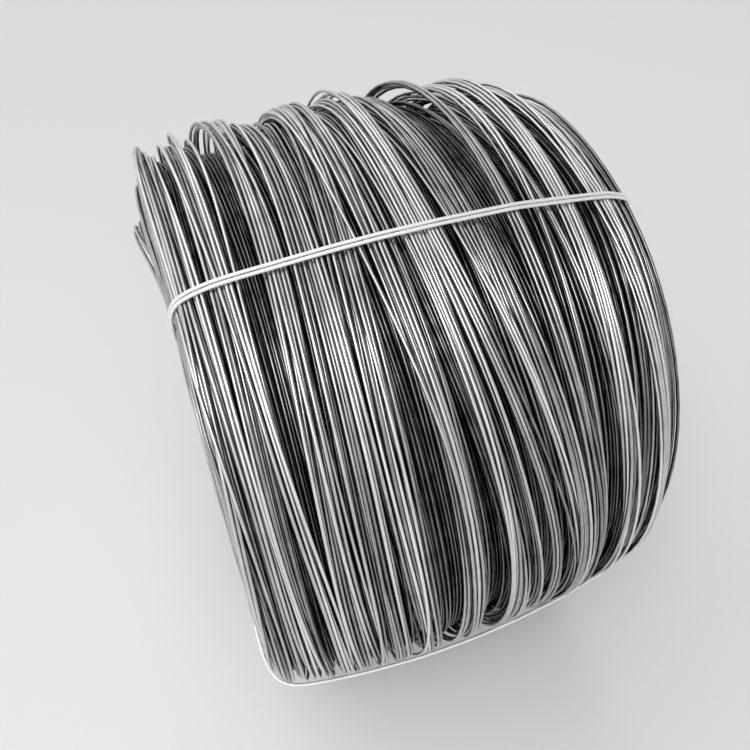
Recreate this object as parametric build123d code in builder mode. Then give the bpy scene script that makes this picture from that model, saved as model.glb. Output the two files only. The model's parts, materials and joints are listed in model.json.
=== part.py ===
"""A coil of galvanized steel wire that lies on its rim, held by four doubled tie wires.

Millimetres, +Z up. The origin is the middle of the coil's eye and the coil's axis is X.
"""

import os
from math import cos, radians, sin, tan

from build123d import *

os.makedirs("parts", exist_ok=True)

# The wound wire
wire_diameter = 4.5
coil_length = 560
eye_radius = 275
winding_depth = 135
barrel_radius = 1250
shoulder_radius = 50
eye_edge_radius = 20

# The turns lie in ribbons, which show as rings all round the section. This many wires lie from one
# ribbon's crest to the next, over and over. A groove's sides are this steep, in degrees.
crest_pattern = (6, 9, 8, 5)
groove_side_angle = 42

# The tie wires: the first is this far from the top, towards -Y
tie_count = 4
first_tie_angle = 21
tie_strand_diameter = 4
tie_strand_sides = 5
tie_seat_gap = 0.3
strand_gap = 0.2
tie_sink = 0.5
channel_floor_gap = 0.25
channel_side_gap = 1
pigtail_diameter = 7
pigtail_length = 42
pigtail_rise = 40

outer_radius = eye_radius + winding_depth
strand_radius = tie_strand_diameter / 2
strand_spacing = tie_strand_diameter + strand_gap
tie_eye_radius = eye_radius + tie_sink + strand_radius
channel_width = strand_spacing + tie_strand_diameter + 2 * channel_side_gap
tie_angles = [first_tie_angle + turn * 360 / tie_count for turn in range(tie_count)]

# The winding's section without its ribbons: X runs along the coil and Y away from its axis
with BuildSketch() as smooth_section:
    with Locations((0, eye_radius)):
        Rectangle(coil_length, winding_depth, align=(Align.CENTER, Align.MIN))
    with Locations((0, outer_radius - barrel_radius)):
        Circle(barrel_radius, mode=Mode.INTERSECT)
    fillet(smooth_section.vertices().group_by(Axis.Y)[-1], shoulder_radius)
    fillet(smooth_section.vertices().group_by(Axis.Y)[0], eye_edge_radius)

# From the eye's wall round the +X end, the outside and the -X end to the wall again
crest_line = Wire(smooth_section.edges().sort_by(Axis.Y)[1:])
pattern_repeats = round(crest_line.length / (sum(crest_pattern) * wire_diameter))
crest_spacings = crest_pattern * pattern_repeats
crest_shares = [sum(crest_spacings[:ring]) / sum(crest_spacings) for ring in range(len(crest_spacings) + 1)]


def outline_point(share, rise):
    """A point at this share of the crest line's length and this far outside it."""
    outward = (crest_line % share).rotate(Axis.Z, -90)
    place = crest_line @ share + outward * rise
    return place.X, place.Y


def radial_plane(angle):
    """The plane through the coil's axis whose Y points away from it, this far from the top."""
    z_dir = (0, -cos(radians(angle)), -sin(radians(angle)))
    return Plane(origin=(0, 0, 0), x_dir=(1, 0, 0), z_dir=z_dir)


def groove_point(start, end):
    """The deepest point of the groove between the crests at these two shares."""
    half_width = (end - start) * crest_line.length / 2
    return outline_point((start + end) / 2, -half_width * tan(radians(groove_side_angle)))


crests = [outline_point(share, 0) for share in crest_shares]
grooves = [groove_point(start, end) for start, end in zip(crest_shares, crest_shares[1:])]
ribbed_outline = [point for pair in zip(crests, grooves) for point in pair] + crests[-1:]
channel_height = crests[1][1] + tie_strand_diameter

# A tie is pulled straight from crest to crest and is pressed into the eye's wall
wall_half_length = coil_length / 2 - eye_edge_radius
tie_outline = [
    (0, tie_eye_radius),
    (wall_half_length, tie_eye_radius),
    *[outline_point(share, tie_seat_gap + strand_radius) for share in crest_shares[1:-1]],
    (-wall_half_length, tie_eye_radius),
]

with BuildSketch() as tie_bed:
    with BuildLine():
        Polyline(*tie_outline, close=True)
    make_face()
    offset(amount=-strand_radius - channel_floor_gap, kind=Kind.INTERSECTION, mode=Mode.REPLACE)

# The coil: one turned solid, with a channel in the eye where each tie presses the turns back
with BuildPart() as wire_coil:
    with BuildSketch(Plane.XZ):
        with BuildLine():
            Polyline(*ribbed_outline, close=True)
        make_face()
    revolve(axis=Axis.X)
    for angle in tie_angles:
        with BuildSketch(radial_plane(angle)):
            with Locations((0, channel_height)):
                Rectangle(
                    coil_length + 2 * tie_strand_diameter,
                    2 * eye_edge_radius + winding_depth / 2,
                    align=(Align.CENTER, Align.MAX),
                )
            add(tie_bed.sketch, mode=Mode.SUBTRACT)
        extrude(amount=channel_width / 2, both=True, mode=Mode.SUBTRACT)

wire_coil.part.label = "wire_coil"
export_step(wire_coil.part, "parts/wire_coil.step")

# The ties: two strands side by side, and their twisted ends bent down on the coil's end
for number, angle in enumerate(tie_angles, start=1):
    with BuildPart() as tie_wire:
        for side in (-1, 1):
            strand_plane = radial_plane(angle).offset(side * strand_spacing / 2)
            with BuildLine(strand_plane) as strand:
                Polyline(*tie_outline, close=True)
            with BuildSketch(Plane(strand.wire() @ 0, x_dir=strand_plane.y_dir, z_dir=strand.wire() % 0)):
                RegularPolygon(strand_radius, tie_strand_sides)
            sweep(path=strand.wire(), transition=Transition.RIGHT)
        with BuildSketch(radial_plane(angle).offset(-strand_spacing)):
            pigtail_x = coil_length / 2 + tie_seat_gap + pigtail_diameter / 2
            with Locations((pigtail_x, eye_radius + pigtail_rise)):
                RegularPolygon(pigtail_diameter / 2, tie_strand_sides)
        extrude(amount=strand_spacing + pigtail_length)
    tie_wire.part.label = f"tie_wire_{number}"
    export_step(tie_wire.part, f"parts/tie_wire_{number}.step")
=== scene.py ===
"""A coil of galvanized wire lying on its rim: one long wire in loose ribbons of turns, and four ties."""

import json
from collections import namedtuple
from math import cos, pi, radians, sin

import bpy
import numpy as np
from mathutils import Matrix, Quaternion, Vector


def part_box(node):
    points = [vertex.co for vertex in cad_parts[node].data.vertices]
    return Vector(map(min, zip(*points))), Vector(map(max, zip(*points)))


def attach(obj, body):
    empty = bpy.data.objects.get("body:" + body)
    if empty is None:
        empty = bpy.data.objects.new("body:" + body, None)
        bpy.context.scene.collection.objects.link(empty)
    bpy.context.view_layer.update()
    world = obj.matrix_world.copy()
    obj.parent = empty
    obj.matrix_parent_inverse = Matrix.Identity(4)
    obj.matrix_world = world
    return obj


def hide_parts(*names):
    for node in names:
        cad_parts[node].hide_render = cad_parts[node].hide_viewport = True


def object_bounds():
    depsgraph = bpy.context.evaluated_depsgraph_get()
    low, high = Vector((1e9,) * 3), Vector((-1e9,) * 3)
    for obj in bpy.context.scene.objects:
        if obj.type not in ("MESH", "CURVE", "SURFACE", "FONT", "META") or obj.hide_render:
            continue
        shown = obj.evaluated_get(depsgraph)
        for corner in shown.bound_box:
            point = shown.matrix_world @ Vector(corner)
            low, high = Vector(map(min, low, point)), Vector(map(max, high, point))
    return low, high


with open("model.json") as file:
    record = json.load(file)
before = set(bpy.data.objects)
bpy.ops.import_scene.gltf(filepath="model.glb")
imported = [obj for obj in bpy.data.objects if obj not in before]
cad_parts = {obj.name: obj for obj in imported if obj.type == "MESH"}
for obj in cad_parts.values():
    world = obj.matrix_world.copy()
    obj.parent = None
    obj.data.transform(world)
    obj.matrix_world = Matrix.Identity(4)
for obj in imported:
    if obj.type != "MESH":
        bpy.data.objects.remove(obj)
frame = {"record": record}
cad_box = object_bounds()

# Sizes are in metres. Angles round the coil are in radians, counted from its top towards -Y.

# The winding's shape, as in the CAD, and the spacing of the points on the line round its section
coil_low, coil_high = (Vector(corner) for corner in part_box("wire_coil"))
COIL_HALF_LENGTH = (coil_high.x - coil_low.x) / 2
COIL_RADIUS = (coil_high.z - coil_low.z) / 2
EYE_RADIUS = frame["record"]["mounts"][0]["dims"]["r_mm"] / 1000
BARREL_RADIUS = 1.25
SHOULDER_RADIUS = 0.05
EYE_EDGE_RADIUS = 0.02
SECTION_SPACING = 0.001

# The wound wire, the points on one turn of it, its sides as a mesh and the turns in one piece
WIRE_RADIUS = 0.00225
WIRE_DIAMETER = 2 * WIRE_RADIUS
STATIONS = 76
WIRE_SIDES = 6
PIECE_TURNS = 150

# The plain ring that stands for the turns deep inside, coloured near black as painted shade
CORE_DEPTH = 0.043
CORE_SPACING = 0.008
CORE_STATIONS = 96

# The ties: how far and how widely they pull the turns in, and each one's two strands, whose offset
# from the middle is in strand radii
TIE_COUNT = 4
FIRST_TIE_DEGREES = 21
TIE_ANGLES = [radians(FIRST_TIE_DEGREES + 360 / TIE_COUNT * turn) for turn in range(TIE_COUNT)]
TIE_PINCH = 0.007
TIE_PINCH_WIDTH = 0.13
TIE_STRAND_RADIUS = 0.002
TIE_STRAND_SIDES = 8
TIE_STRAND_OFFSET = 1.3
TIE_LINE_SPACING = 0.006
TIE_LINE_SMOOTHING = 3

# Their twisted ends on the +X end, which bow out a little and open at the tips
PIGTAIL_RADIUS = EYE_RADIUS + 0.040
PIGTAIL_LENGTH = 0.042
PIGTAIL_POINTS = 60
PIGTAIL_TWISTS = 2.5
PIGTAIL_BOW = 0.004
PIGTAIL_BOW_TURN = 1.3
PIGTAIL_SPACING = 1.02
PIGTAIL_TIP = 0.88
PIGTAIL_OPENING = 4

X_AXIS = np.array([1.0, 0, 0])
RANDOM_SEED = 7
random = np.random.default_rng(RANDOM_SEED)


# Lines and waves


def arc(centre, radius, start, end, count):
    angles = np.linspace(start, end, count)
    return np.stack([centre[0] + radius * np.cos(angles), centre[1] + radius * np.sin(angles)], 1)


def unit(rows):
    return rows / np.linalg.norm(rows, axis=1)[:, None]


def lengths_along(line):
    """How far along a line each of its points lies."""
    return np.concatenate([[0], np.cumsum(np.linalg.norm(np.diff(line, axis=0), axis=1))])


def even_points(line, count):
    """Points at even steps along a line that ends where it starts."""
    lengths = lengths_along(line)
    places = np.arange(count) * lengths[-1] / count
    return np.stack([np.interp(places, lengths, line[:, 0]), np.interp(places, lengths, line[:, 1])], 1)


def smooth_along(values, passes):
    """Smooths a long row of values and keeps its ends."""
    for _ in range(passes):
        inner = (values[:-2] + 2 * values[1:-1] + values[2:]) / 4
        values = np.concatenate([values[:1], inner, values[-1:]])
    return values


def smooth_round(rows, passes):
    """Smooths rows of values that go round a closed line."""
    for _ in range(passes):
        rows = (np.roll(rows, 1, 0) + 2 * rows + np.roll(rows, -1, 0)) / 4
    return rows


def waves(angles, amplitudes, phases):
    """A closed wavy line: one harmonic for each amplitude, from once round on."""
    total = np.zeros_like(angles)
    for number, (amplitude, phase) in enumerate(zip(amplitudes, phases), start=1):
        total += amplitude * np.cos(number * angles + phase)
    return total


def angle_from(angles, place):
    """How far the angles are from this one, either way round."""
    return (angles - place + pi) % (2 * pi) - pi


# The section of the winding, as a closed line round it

EDGE_POINTS = 40
SHOULDER_POINTS = 60
BARREL_POINTS = 200
TANGENT_SMOOTHING = 6


def section_line():
    """Points (x, radius) at even steps round the section, from the middle of the eye's wall to +X."""
    shoulder_x = COIL_HALF_LENGTH - SHOULDER_RADIUS
    barrel_centre = COIL_RADIUS - BARREL_RADIUS
    shoulder_y = barrel_centre + np.sqrt((BARREL_RADIUS - SHOULDER_RADIUS) ** 2 - shoulder_x**2)
    tangent_angle = np.arctan2(shoulder_y - barrel_centre, shoulder_x)
    edge_x = COIL_HALF_LENGTH - EYE_EDGE_RADIUS
    edge_y = EYE_RADIUS + EYE_EDGE_RADIUS
    line = np.concatenate(
        [
            [(0, EYE_RADIUS)],
            arc((edge_x, edge_y), EYE_EDGE_RADIUS, -pi / 2, 0, EDGE_POINTS),
            arc((shoulder_x, shoulder_y), SHOULDER_RADIUS, 0, tangent_angle, SHOULDER_POINTS),
            arc((0, barrel_centre), BARREL_RADIUS, tangent_angle, pi - tangent_angle, BARREL_POINTS),
            arc((-shoulder_x, shoulder_y), SHOULDER_RADIUS, pi - tangent_angle, pi, SHOULDER_POINTS),
            arc((-edge_x, edge_y), EYE_EDGE_RADIUS, pi, 3 * pi / 2, EDGE_POINTS),
            [(0, EYE_RADIUS)],
        ]
    )
    return even_points(line, int(round(lengths_along(line)[-1] / SECTION_SPACING)))


SECTION = section_line()
SECTION_COUNT = len(SECTION)
SECTION_STEP = np.linalg.norm(SECTION[1] - SECTION[0])
PERIMETER = SECTION_COUNT * SECTION_STEP
TANGENT = unit(smooth_round(np.roll(SECTION, -1, 0) - np.roll(SECTION, 1, 0), TANGENT_SMOOTHING))
turning = np.roll(TANGENT, -1, 0) - np.roll(TANGENT, 1, 0)
CURVATURE = (TANGENT[:, 0] * turning[:, 1] - TANGENT[:, 1] * turning[:, 0]) / (2 * SECTION_STEP)
SECTION_ROWS = np.concatenate([SECTION, TANGENT, CURVATURE[:, None]], 1)


def section_at(along):
    """x, radius, tangent x, tangent radius and curvature of the section line at these lengths."""
    place = (along / SECTION_STEP) % SECTION_COUNT
    low = np.floor(place).astype(int) % SECTION_COUNT
    high = (low + 1) % SECTION_COUNT
    part = (place - np.floor(place))[..., None]
    return np.moveaxis(SECTION_ROWS[low] * (1 - part) + SECTION_ROWS[high] * part, -1, 0)


def in_section(along, height):
    """(x, radius) of points this far along the section line and this far outside it."""
    x, radius, tangent_x, tangent_r, _ = section_at(along)
    return x + tangent_r * height, radius - tangent_x * height


# The turns: ribbons of neighbouring turns, one after the other along one long wire

# The eye's flat wall reaches from -WALL_END to WALL_END along the section line. FAR_END is its -X end
# again, reached over the outside.
WALL_END = COIL_HALF_LENGTH - EYE_EDGE_RADIUS
FAR_END = PERIMETER - WALL_END

# The layers in the order in which the wire is laid: first and last length along the section, height,
# share covered, turns in a ribbon, how far the ribbons wander and heave, how steeply they tilt and
# how high they stand at the top. The wire goes to and fro: each layer starts near the place where
# the one before it ends.
Layer = namedtuple("Layer", "start end height cover turns wander heave tilt loops")
LAYERS = [
    Layer(WALL_END - PERIMETER, WALL_END, -0.0370, 0.95, (9, 22), 0.30, 0.001, 0.05, 0),
    Layer(WALL_END, -WALL_END, -0.0190, 0.90, (5, 14), 0.40, 0.002, 0.15, 0),
    Layer(-WALL_END, WALL_END, -0.0050, 0.75, (4, 12), 0.50, 0.003, 0.30, 0),
    Layer(WALL_END, FAR_END, -0.0280, 0.85, (5, 14), 0.40, 0.002, 0.20, 0),
    Layer(FAR_END, WALL_END, -0.0205, 0.64, (4, 11), 0.50, 0.004, 0.50, 0.006),
    Layer(WALL_END, FAR_END, -0.0120, 0.58, (3, 9), 0.75, 0.003, 0.85, 0.011),
    Layer(FAR_END, WALL_END, -0.0040, 0.60, (2, 6.5), 0.85, 0.003, 0.85, 0.014),
]

# The room that a ribbon takes along the section, in diameters a turn, the least and greatest spread
# of its turns, the share of ribbons laid backwards, and how far the coil's top and bottom lean over
TURN_SPACING = 1.06
SPREADS = (1.04, 1.22)
BACKWARD_SHARE = 0.12
LEAN = 0.050

# The drift that neighbouring ribbons share: its size for each harmonic round the coil, and how many
# harmonics it has along the section
DRIFT_SIZES = [0.008, 0.009, 0.007, 0.004]
DRIFT_WAVES = 4
drift_phases = random.uniform(0, 2 * pi, (len(DRIFT_SIZES), 2, DRIFT_WAVES))

# Each ribbon's own wander, heave, tilt and spread, for each harmonic round the coil
WANDER_SIZES = np.array([0.011, 0.010, 0.007, 0.0045, 0.0028, 0.0018])
HEAVE_SIZES = np.array([0.6, 0.7, 0.6, 0.45, 0.3])
TILT_SIZES = np.array([0.6, 0.6, 0.5])
SPREAD_SIZES = [0.08, 0.08, 0.06]

# The loops at the top: between which angles, how wide, how high at most, and how a tie holds them down
LOOP_PLACES = (-0.95, -0.15)
LOOP_WIDTH = 0.32
LOOP_LIMIT = 0.032
LOOP_HOLD = 1.2

# The smoothing passes that join one ribbon to the next, and those that make the wire's own small
# bends, with their sizes
ALONG_SMOOTHING = 60
HEIGHT_SMOOTHING = 24
SHORT_BEND = 14
LONG_BEND = 120
SHORT_BEND_ALONG = 0.0040
SHORT_BEND_HEIGHT = 0.0035
LONG_BEND_SIZE = 0.0060


def drift_at(centre, angles):
    total = np.zeros_like(angles)
    for number, (size, phases) in enumerate(zip(DRIFT_SIZES, drift_phases), start=1):
        turns = 2 * pi * centre / PERIMETER * np.arange(1, DRIFT_WAVES + 1)
        cosine, sine = np.cos(turns + phases).sum(1) / 2**0.5
        total += size * (cosine * np.cos(number * angles) + sine * np.sin(number * angles))
    return total


def layer_ribbons(layer):
    """The ribbons of one layer, in order along the section, so that one wire can lay them all."""
    ribbons = []
    along = layer.start
    forward = 1 if layer.end > along else -1
    while forward * (layer.end - along) > 0:
        turns = random.uniform(*layer.turns)
        width = forward * turns * WIRE_DIAMETER * TURN_SPACING
        ribbons.append(
            dict(
                layer=layer,
                turns=turns,
                centre=along + width / 2,
                height=layer.height + random.normal() * layer.heave,
                wander_phases=random.uniform(0, 2 * pi, len(WANDER_SIZES)),
                wander_sizes=random.normal(size=len(WANDER_SIZES)),
                heave_phases=random.uniform(0, 2 * pi, len(HEAVE_SIZES)),
                heave_sizes=random.normal(size=len(HEAVE_SIZES)),
                tilt=random.normal() * layer.tilt,
                tilt_phases=random.uniform(0, 2 * pi, len(TILT_SIZES)),
                tilt_sizes=random.normal(size=len(TILT_SIZES)),
                spread=random.uniform(*SPREADS),
                spread_phases=random.uniform(0, 2 * pi, len(SPREAD_SIZES)),
                loop=random.exponential() * layer.loops,
                loop_place=random.uniform(*LOOP_PLACES),
                side=random.choice([-1, 1], p=[BACKWARD_SHARE, 1 - BACKWARD_SHARE]) * forward,
            )
        )
        along += width / layer.cover
    return ribbons


def wander_of(ribbon, angles):
    sizes = WANDER_SIZES * ribbon["wander_sizes"]
    return ribbon["layer"].wander * waves(angles, sizes, ribbon["wander_phases"])


def heave_of(ribbon, angles):
    sizes = ribbon["layer"].heave * HEAVE_SIZES * ribbon["heave_sizes"]
    return waves(angles, sizes, ribbon["heave_phases"])


def tilt_of(ribbon, angles):
    sizes = ribbon["layer"].tilt * TILT_SIZES * ribbon["tilt_sizes"]
    return ribbon["tilt"] + waves(angles, sizes, ribbon["tilt_phases"])


def tie_nearness(angles):
    """1 at a tie and 0 away from it."""
    nearness = np.zeros_like(angles)
    for tie_angle in TIE_ANGLES:
        nearness += np.exp(-((angle_from(angles, tie_angle) / TIE_PINCH_WIDTH) ** 2))
    return nearness


def loop_of(ribbon, angles):
    """How far a ribbon stands up between the two ties at the coil's top."""
    away = angle_from(angles, ribbon["loop_place"])
    free = np.clip(1 - LOOP_HOLD * tie_nearness(angles), 0, 1)
    return min(ribbon["loop"], LOOP_LIMIT) * np.exp(-((away / LOOP_WIDTH) ** 2)) * free


def lay_ribbon(ribbon, angles):
    """(lengths along the section, heights, stand at the top) of the wire while it lays one ribbon."""
    count = (angles - angles[0]) / (2 * pi)
    across = ribbon["side"] * (count - ribbon["turns"] / 2) * WIRE_DIAMETER
    spread = ribbon["spread"] + waves(angles, SPREAD_SIZES, ribbon["spread_phases"])
    tilt = tilt_of(ribbon, angles)
    x, _, tangent_x, _, _ = section_at(np.array([ribbon["centre"]]))[:, 0]
    lean = -LEAN * np.cos(angles) * tangent_x * max(0, 1 - (x / COIL_HALF_LENGTH) ** 2)
    loop = loop_of(ribbon, angles)
    drift = drift_at(ribbon["centre"], angles) + wander_of(ribbon, angles)
    along = ribbon["centre"] + drift + lean + across * spread * np.cos(tilt)
    height = ribbon["height"] + heave_of(ribbon, angles) + across * spread * np.sin(tilt) + loop
    return along, height, loop


def bends(short, long, short_size):
    """The wire's own small bends, from two rows of random values."""
    return smooth_along(short, SHORT_BEND) * short_size + smooth_along(long, LONG_BEND) * LONG_BEND_SIZE


def lay_wire():
    """The whole wire before it settles: (turns, stations) of lengths along, heights and stands."""
    ribbons = [ribbon for layer in LAYERS for ribbon in layer_ribbons(layer)]
    step = 2 * pi / STATIONS
    rows = []
    laid = 0
    for ribbon in ribbons:
        count = max(1, int(round(ribbon["turns"] * STATIONS)))
        rows.append(np.stack(lay_ribbon(ribbon, (laid + np.arange(count)) * step)))
        laid += count
    turns = laid // STATIONS
    along, height, loop = np.concatenate(rows, 1)[:, : turns * STATIONS]
    along = smooth_along(along, ALONG_SMOOTHING)
    height = smooth_along(height, HEIGHT_SMOOTHING)
    loop = smooth_along(loop, HEIGHT_SMOOTHING)
    shiver = random.normal(size=(4, turns * STATIONS))
    along += bends(shiver[0], shiver[1], SHORT_BEND_ALONG)
    height += bends(shiver[2], shiver[3], SHORT_BEND_HEIGHT)
    return [values.reshape(turns, STATIONS) for values in (along, height, loop)]


# How the wire settles. Each turn is kept this many diameters from its nearest neighbours along the
# section, and takes part of its push in each round. It sinks a little, and it may stand a little out
# of the coil's shape. The limits are for how much longer the section line is at a turn's height.
ROUNDS = 140
CLEAR_SPACING = 1.01
NEIGHBOURS = 10
PUSH_SHARE = 0.7
SINKING = 0.00002
STANDING_OUT = 0.0005
STRETCH_LIMITS = (0.3, 3)

station_angles = np.arange(STATIONS) * 2 * pi / STATIONS


def settle(along, height, loop, rounds):
    """Pushes turns apart where they overlap, and keeps the wire smooth and inside the coil's shape."""
    first_along, first_height = along.copy(), height.copy()
    highest = STANDING_OUT + loop - TIE_PINCH * tie_nearness(station_angles)[None, :]
    lowest = -CORE_DEPTH + WIRE_RADIUS
    for _ in range(rounds):
        x, radius, tangent_x, tangent_r, curvature = section_at(along)
        points = (x + tangent_r * height, radius - tangent_x * height)
        order = np.argsort(along % PERIMETER, axis=0)
        ranked = np.stack([np.take_along_axis(values, order, 0) for values in points])
        push = np.zeros_like(ranked)
        for gap in range(1, NEIGHBOURS + 1):
            apart = np.roll(ranked, -gap, axis=1) - ranked
            distance = np.sqrt((apart**2).sum(0)) + 1e-9
            overlap = np.clip(WIRE_DIAMETER * CLEAR_SPACING - distance, 0, None)
            shove = apart * (0.5 * overlap / distance)
            push -= shove
            push += np.roll(shove, gap, axis=1)
        moved = np.zeros_like(push)
        np.put_along_axis(moved[0], order, push[0], 0)
        np.put_along_axis(moved[1], order, push[1], 0)
        stretch = np.clip(1 + curvature * height, *STRETCH_LIMITS)
        along = along + PUSH_SHARE * (moved[0] * tangent_x + moved[1] * tangent_r) / stretch
        height = height + PUSH_SHARE * (moved[0] * tangent_r - moved[1] * tangent_x)
        height = np.clip(height - SINKING, lowest, highest - WIRE_RADIUS)
        shift_along = smooth_along((along - first_along).ravel(), 1)
        shift_height = smooth_along((height - first_height).ravel(), 1)
        along = first_along + shift_along.reshape(along.shape)
        height = first_height + shift_height.reshape(height.shape)
    return along, height


def wire_points(along, height):
    """The wire's centre line in space and the directions out of the winding, one row a point."""
    x, radius = in_section(along, height)
    _, _, tangent_x, tangent_r, _ = section_at(along)
    angles = np.broadcast_to(station_angles, x.shape)
    points = np.stack([x, -radius * np.sin(angles), radius * np.cos(angles)], -1)
    outward = np.stack([tangent_r, tangent_x * np.sin(angles), -tangent_x * np.cos(angles)], -1)
    return points.reshape(-1, 3), outward.reshape(-1, 3)


# Meshes

# The share of its brightness that a turn loses where it faces into the winding: painted shade in the nips
# between the turns
NIP_PAINTED_SHADE = 0.95


def add_object(name, data):
    item = bpy.data.objects.new(name, data)
    bpy.context.collection.objects.link(item)
    return item


def ring_quads(rings, sides, closed):
    """Corner numbers of the quads between rings of points; closed joins the last ring to the first."""
    rows = np.arange(rings if closed else rings - 1)[:, None]
    places = np.arange(sides)[None, :]
    after = (rows + 1) % rings
    beside = (places + 1) % sides
    corners = [rows * sides + places, after * sides + places, after * sides + beside, rows * sides + beside]
    return np.stack(corners, -1).reshape(-1, 4)


def tube(name, points, radius, sides, across, closed=False, shades=None, outward=None):
    """A round wire along the points as one mesh; across is a direction that it never runs along.

    Shades, one a point, are stored as the mesh's turn tone. They are whole where the wire faces outward,
    the direction out of the winding, and are painted darker towards the nips between the turns, as painted
    shade."""
    ahead = unit(np.roll(points, -1, 0) - np.roll(points, 1, 0) if closed else np.gradient(points, axis=0))
    first = unit(across - ahead * (ahead @ across)[:, None])
    second = np.cross(ahead, first)
    turn = np.arange(sides) * 2 * pi / sides
    ring = first[:, None] * np.cos(turn)[None, :, None] + second[:, None] * np.sin(turn)[None, :, None]
    vertices = (points[:, None] + radius * ring).reshape(-1, 3)
    quads = ring_quads(len(points), sides, closed)[:, ::-1]
    loops = quads.ravel()
    starts = np.arange(len(quads)) * 4
    totals = np.full(len(quads), 4)
    if not closed:
        first_cap = np.arange(sides)
        last_cap = ((len(points) - 1) * sides + np.arange(sides))[::-1]
        starts = np.concatenate([starts, [len(loops), len(loops) + sides]])
        totals = np.concatenate([totals, [sides, sides]])
        loops = np.concatenate([loops, first_cap, last_cap])
    mesh = bpy.data.meshes.new(name)
    mesh.vertices.add(len(vertices))
    mesh.vertices.foreach_set("co", vertices.ravel().astype(np.float32))
    mesh.loops.add(len(loops))
    mesh.loops.foreach_set("vertex_index", loops.astype(np.int32))
    mesh.polygons.add(len(starts))
    mesh.polygons.foreach_set("loop_start", starts.astype(np.int32))
    mesh.polygons.foreach_set("loop_total", totals.astype(np.int32))
    mesh.polygons.foreach_set("use_smooth", np.ones(len(starts), dtype=bool))
    mesh.update(calc_edges=True)
    mesh.validate()
    if shades is not None:
        # Painted shade: the colour darkens where the wire faces into the winding, towards the nips
        facing = (ring * outward[:, None]).sum(-1)
        values = shades[:, None] * (1 - NIP_PAINTED_SHADE * (1 - facing) / 2)
        layer = mesh.attributes.new("tone_and_painted_shade", "FLOAT", "POINT")
        layer.data.foreach_set("value", values.ravel().astype(np.float32))
    return add_object(name, mesh)


def turned(name, outline, count):
    """A closed ring about the X axis from a closed outline of (x, radius) points."""
    angles = np.arange(count) * 2 * pi / count
    x = np.broadcast_to(outline[None, :, 0], (count, len(outline)))
    y = -outline[None, :, 1] * np.sin(angles)[:, None]
    z = outline[None, :, 1] * np.cos(angles)[:, None]
    vertices = np.stack([x, y, z], -1).reshape(-1, 3)
    quads = ring_quads(count, len(outline), closed=True)
    mesh = bpy.data.meshes.new(name)
    mesh.from_pydata(vertices.tolist(), [], quads.tolist())
    mesh.polygons.foreach_set("use_smooth", np.ones(len(mesh.polygons), dtype=bool))
    return add_object(name, mesh)


# Materials

# The zinc is at its darkest up to this tone. Then its patches, with their share of the tone, and its
# grain, with the least and greatest change of roughness and the strength and depth of its bumps
DARK_UP_TO = 0.2
PATCH_SCALE = 45
PATCH_DETAIL = 5
PATCH_SHARE = 0.3
GRAIN_SCALE = 420
GRAIN_DETAIL = 3
GRAIN_ROUGHNESS = (-0.06, 0.12)
GRAIN_STRENGTH = 0.25
GRAIN_DEPTH = 0.0004


def material(name):
    made = bpy.data.materials.new(name)
    made.use_nodes = True
    nodes = made.node_tree.nodes
    return made, nodes, made.node_tree.links, nodes["Principled BSDF"]


def zinc(name, dark, light, roughness, metallic):
    """Hot-dip zinc: patches along each turn between a dark and a bright tone, led by each turn's own tone
    and its painted shade, and a fine grain.
    """
    made, nodes, links, shader = material(name)
    shader.inputs["Metallic"].default_value = metallic
    place = nodes.new("ShaderNodeTexCoord")
    shade = nodes.new("ShaderNodeAttribute")
    shade.attribute_name = "tone_and_painted_shade"
    patches = nodes.new("ShaderNodeTexNoise")
    patches.inputs["Scale"].default_value = PATCH_SCALE
    patches.inputs["Detail"].default_value = PATCH_DETAIL
    links.new(place.outputs["Object"], patches.inputs["Vector"])
    blend = nodes.new("ShaderNodeMath")
    blend.operation = "MULTIPLY_ADD"
    blend.inputs[1].default_value = PATCH_SHARE
    links.new(patches.outputs["Fac"], blend.inputs[0])
    links.new(shade.outputs["Fac"], blend.inputs[2])
    ramp = nodes.new("ShaderNodeValToRGB")
    ramp.color_ramp.elements[0].position = DARK_UP_TO
    ramp.color_ramp.elements[0].color = (*dark, 1)
    ramp.color_ramp.elements[1].position = 1
    ramp.color_ramp.elements[1].color = (*light, 1)
    links.new(blend.outputs[0], ramp.inputs["Fac"])
    links.new(ramp.outputs["Color"], shader.inputs["Base Color"])
    grain = nodes.new("ShaderNodeTexNoise")
    grain.inputs["Scale"].default_value = GRAIN_SCALE
    grain.inputs["Detail"].default_value = GRAIN_DETAIL
    links.new(place.outputs["Object"], grain.inputs["Vector"])
    rough = nodes.new("ShaderNodeMapRange")
    rough.inputs["To Min"].default_value = roughness + GRAIN_ROUGHNESS[0]
    rough.inputs["To Max"].default_value = roughness + GRAIN_ROUGHNESS[1]
    links.new(grain.outputs["Fac"], rough.inputs["Value"])
    links.new(rough.outputs["Result"], shader.inputs["Roughness"])
    bump = nodes.new("ShaderNodeBump")
    bump.inputs["Strength"].default_value = GRAIN_STRENGTH
    bump.inputs["Distance"].default_value = GRAIN_DEPTH
    links.new(grain.outputs["Fac"], bump.inputs["Height"])
    links.new(bump.outputs["Normal"], shader.inputs["Normal"])
    return made


# The wound zinc's near-black dark end is painted shade, reached in the nips and deep turns; its light end
# is the zinc's own tone
wound_zinc = zinc(
    "wound_zinc", dark=(0.012, 0.013, 0.0125), light=(0.90, 0.905, 0.893), roughness=0.20, metallic=0.97
)
tie_zinc = zinc(
    "tie_zinc", dark=(0.84, 0.85, 0.84), light=(0.93, 0.935, 0.925), roughness=0.36, metallic=0.3
)
# Painted shade: the core's near-black colour stands for the shade among the deep turns, not the zinc's own
# colour
core_painted_shade = zinc(
    "core_painted_shade", dark=(0.03, 0.033, 0.036), light=(0.07, 0.075, 0.08), roughness=0.6, metallic=0.5
)


# The winding

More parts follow.
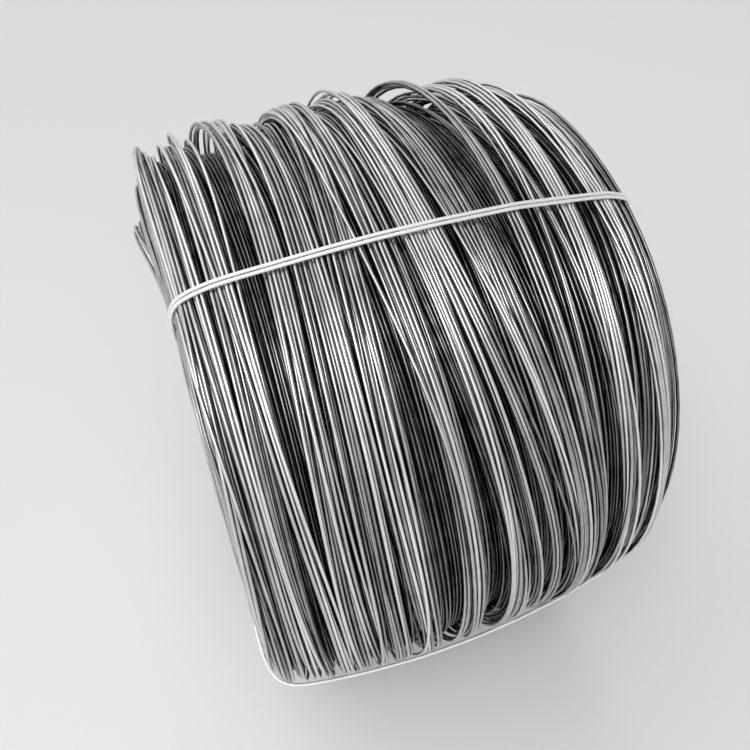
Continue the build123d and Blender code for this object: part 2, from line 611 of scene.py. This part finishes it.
# The dullest turn's tone, the smoothing passes between one turn's tone and the next, and how much
# painted shade darkens the turns deep inside: it begins at one depth and is complete so much deeper
DULLEST_TURN = 0.3
SHADE_SMOOTHING = 200
DEPTH_PAINTED_SHADE = 0.7
DEPTH_SHADE_START = 0.006
DEPTH_SHADE_SPAN = 0.013

along, height = settle(*lay_wire(), ROUNDS)
turn_count = along.shape[0]
centre_line, outward_line = wire_points(along, height)
# Each turn's own tone, which differs at random; painted shade is added to it below
tone_and_painted_shades = np.repeat(random.uniform(DULLEST_TURN, 1, turn_count), STATIONS)
tone_and_painted_shades = smooth_along(tone_and_painted_shades, SHADE_SMOOTHING)
# Painted shade: turns that lie deep in the winding are painted darker
painted_depth_shade = np.clip((-height.ravel() - DEPTH_SHADE_START) / DEPTH_SHADE_SPAN, 0, 1)
tone_and_painted_shades *= 1 - DEPTH_PAINTED_SHADE * painted_depth_shade

pieces = []
for number, start in enumerate(range(0, turn_count, PIECE_TURNS), start=1):
    low = start * STATIONS
    high = min(len(centre_line), (start + PIECE_TURNS) * STATIONS + 1)
    turns = tube(
        f"wound_turns_{number}",
        centre_line[low:high],
        WIRE_RADIUS,
        WIRE_SIDES,
        X_AXIS,
        shades=tone_and_painted_shades[low:high],
        outward=outward_line[low:high],
    )
    turns.data.materials.append(wound_zinc)
    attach(turns, "root")
    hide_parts("wire_coil")
    pieces.append(turns)

core_places = np.arange(0, PERIMETER, CORE_SPACING)
core_outline = np.stack(in_section(core_places, np.full(len(core_places), -CORE_DEPTH)), 1)
core = turned("winding_core", core_outline, CORE_STATIONS)
core.data.materials.append(core_painted_shade)
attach(core, "root")
pieces.append(core)


# The ties


def hull_2d(points):
    """The convex hull of (x, radius) points, in order."""
    points = points[np.lexsort((points[:, 1], points[:, 0]))]

    def half(rows):
        chain = []
        for row in rows:
            while len(chain) > 1:
                (ax, ay), (bx, by) = chain[-2], chain[-1]
                if (bx - ax) * (row[1] - ay) - (by - ay) * (row[0] - ax) > 0:
                    break
                chain.pop()
            chain.append((row[0], row[1]))
        return chain

    lower = half(points)
    upper = half(points[::-1])
    return np.array(lower[:-1] + upper[:-1])


def tie_line(tie_angle):
    """(x, radius) points of a tie's middle line, pulled tight round the turns at this angle."""
    station = int(np.floor(tie_angle / (2 * pi) * STATIONS))
    beside = [station % STATIONS, (station + 1) % STATIONS]
    x, radius = in_section(along[:, beside], height[:, beside])
    hull = hull_2d(np.stack([x.ravel(), radius.ravel()], 1))
    hull = np.concatenate([hull, hull[:1]])
    hull = even_points(hull, int(lengths_along(hull)[-1] / TIE_LINE_SPACING))
    hull = smooth_round(hull, TIE_LINE_SMOOTHING)
    ahead = unit(np.roll(hull, -1, 0) - np.roll(hull, 1, 0))
    outward = np.stack([ahead[:, 1], -ahead[:, 0]], 1)
    return hull + outward * (WIRE_RADIUS + TIE_STRAND_RADIUS)


def pigtail(name, start, sideways):
    """The tie's two ends twisted round each other and bent against the coil's end."""
    share = np.linspace(0, 1, PIGTAIL_POINTS)[:, None]
    inward = np.cross(X_AXIS, sideways)
    bow = X_AXIS * PIGTAIL_BOW * np.sin(share * pi * PIGTAIL_BOW_TURN)
    middle = start + sideways * PIGTAIL_LENGTH * share + bow
    strands = []
    for side in (0, pi):
        twist = side + share * 2 * pi * PIGTAIL_TWISTS
        apart = TIE_STRAND_RADIUS * (PIGTAIL_SPACING + PIGTAIL_OPENING * np.clip(share - PIGTAIL_TIP, 0, 1))
        points = middle + apart * (np.cos(twist) * X_AXIS + np.sin(twist) * inward)
        strands.append(tube(f"{name}_{len(strands)}", points, TIE_STRAND_RADIUS, TIE_STRAND_SIDES, inward))
    return strands


for number, tie_angle in enumerate(TIE_ANGLES, start=1):
    line = tie_line(tie_angle)
    away = np.array([0, -sin(tie_angle), cos(tie_angle)])
    sideways = np.array([0, -cos(tie_angle), -sin(tie_angle)])
    parts = []
    for side in (-1, 1):
        offset = side * TIE_STRAND_RADIUS * TIE_STRAND_OFFSET
        points = line[:, :1] * X_AXIS + line[:, 1:] * away + sideways * offset
        name = f"tie_strand_{number}_{side}"
        parts.append(tube(name, points, TIE_STRAND_RADIUS, TIE_STRAND_SIDES, sideways, closed=True))
    # The twisted ends start where the tie passes their radius on the +X end
    place = np.argmin(np.abs(line[:, 1] - PIGTAIL_RADIUS) + (line[:, 0] < 0))
    start = np.array([line[place, 0] + 2 * TIE_STRAND_RADIUS, *(line[place, 1] * away)[1:]])
    parts += pigtail(f"pigtail_{number}", start, sideways)
    bpy.ops.object.select_all(action="DESELECT")
    for part in parts:
        part.select_set(True)
    bpy.context.view_layer.objects.active = parts[0]
    bpy.ops.object.join()
    tie = bpy.context.view_layer.objects.active
    tie.name = f"tie_{number}"
    tie.data.materials.append(tie_zinc)
    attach(tie, "root")
    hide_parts(f"tie_wire_{number}")
    pieces.append(tie)

# The lowest turns rest on the floor
FLOOR_Z = cad_box[0][2]
drop = centre_line[:, 2].min() - WIRE_RADIUS - FLOOR_Z
for piece in pieces:
    piece.data.transform(Matrix.Translation((0, 0, -drop)))


# The stage: a pale floor and soft light

FLOOR_SIZE = 200
FLOOR_COLOUR = (0.72, 0.72, 0.715, 1)
FLOOR_ROUGHNESS = 0.9

bpy.ops.mesh.primitive_plane_add(size=FLOOR_SIZE, location=(0, 0, FLOOR_Z))
floor = bpy.context.active_object
floor.name = "floor"
floor_paint, _, _, shader = material("floor_paint")
shader.inputs["Base Color"].default_value = FLOOR_COLOUR
shader.inputs["Roughness"].default_value = FLOOR_ROUGHNESS
floor.data.materials.append(floor_paint)

# The sky is the same for all rays. Low down it is pale, and between these heights it changes to
# bright on the -X side and dark on the +X side, with these limits between them. Both are parts of a
# direction of length 1.
SKY_COLOUR = (0.965, 0.98, 0.985, 1)
SKY_PALE, SKY_BRIGHT, SKY_DARK = 0.85, 1.36, 0.06
SKY_HEIGHTS = (0.27, 0.42)
SKY_SIDES = (0.16, 0.42)

world = bpy.data.worlds.new("studio")
bpy.context.scene.world = world
world.use_nodes = True
nodes, links = world.node_tree.nodes, world.node_tree.links
background = nodes["Background"]
background.inputs["Color"].default_value = SKY_COLOUR
place = nodes.new("ShaderNodeTexCoord")
split = nodes.new("ShaderNodeSeparateXYZ")
links.new(place.outputs["Generated"], split.inputs[0])


def smooth_step(source, limits):
    """A node that goes gently from its To Min to its To Max as the source passes these limits."""
    step = nodes.new("ShaderNodeMapRange")
    step.interpolation_type = "SMOOTHSTEP"
    step.inputs["From Min"].default_value, step.inputs["From Max"].default_value = limits
    links.new(source, step.inputs["Value"])
    return step


sides = smooth_step(split.outputs["X"], SKY_SIDES)
sides.inputs["To Min"].default_value = SKY_BRIGHT
sides.inputs["To Max"].default_value = SKY_DARK
sky = smooth_step(split.outputs["Z"], SKY_HEIGHTS)
sky.inputs["To Min"].default_value = SKY_PALE
links.new(sides.outputs["Result"], sky.inputs["To Max"])
links.new(sky.outputs["Result"], background.inputs["Strength"])

KEY_PLACE = Vector((-1.2, -1.5, 2.7))
KEY_SIZE = 1.5
KEY_POWER = 28

lamp = bpy.data.lights.new("key", "AREA")
lamp.shape = "RECTANGLE"
lamp.size = KEY_SIZE
lamp.size_y = KEY_SIZE
lamp.energy = KEY_POWER
key = add_object("key", lamp)
key.location = KEY_PLACE
key.rotation_euler = (-KEY_PLACE).to_track_quat("-Z", "Y").to_euler()


# The camera, at the photograph's angle and aimed at the middle of the eye. Its focal length is in
# the photograph's pixels.

PHOTO_WIDTH = 750
FOCAL_LENGTH = 690
SENSOR_WIDTH = 36
AZIMUTH, ELEVATION, ROLL = radians(-22), radians(47), radians(-1)
DISTANCE = 1.08

camera_data = bpy.data.cameras.new("camera")
camera_data.sensor_width = SENSOR_WIDTH
camera_data.lens = SENSOR_WIDTH * FOCAL_LENGTH / PHOTO_WIDTH
camera = add_object("camera", camera_data)
back = Vector((sin(AZIMUTH) * cos(ELEVATION), -cos(AZIMUTH) * cos(ELEVATION), sin(ELEVATION)))
camera.location = back * DISTANCE
aim = (-back).to_track_quat("-Z", "Y") @ Quaternion((0, 0, 1), -ROLL)
camera.rotation_euler = aim.to_euler()
bpy.context.scene.camera = camera
bpy.context.scene.view_settings.view_transform = "Standard"
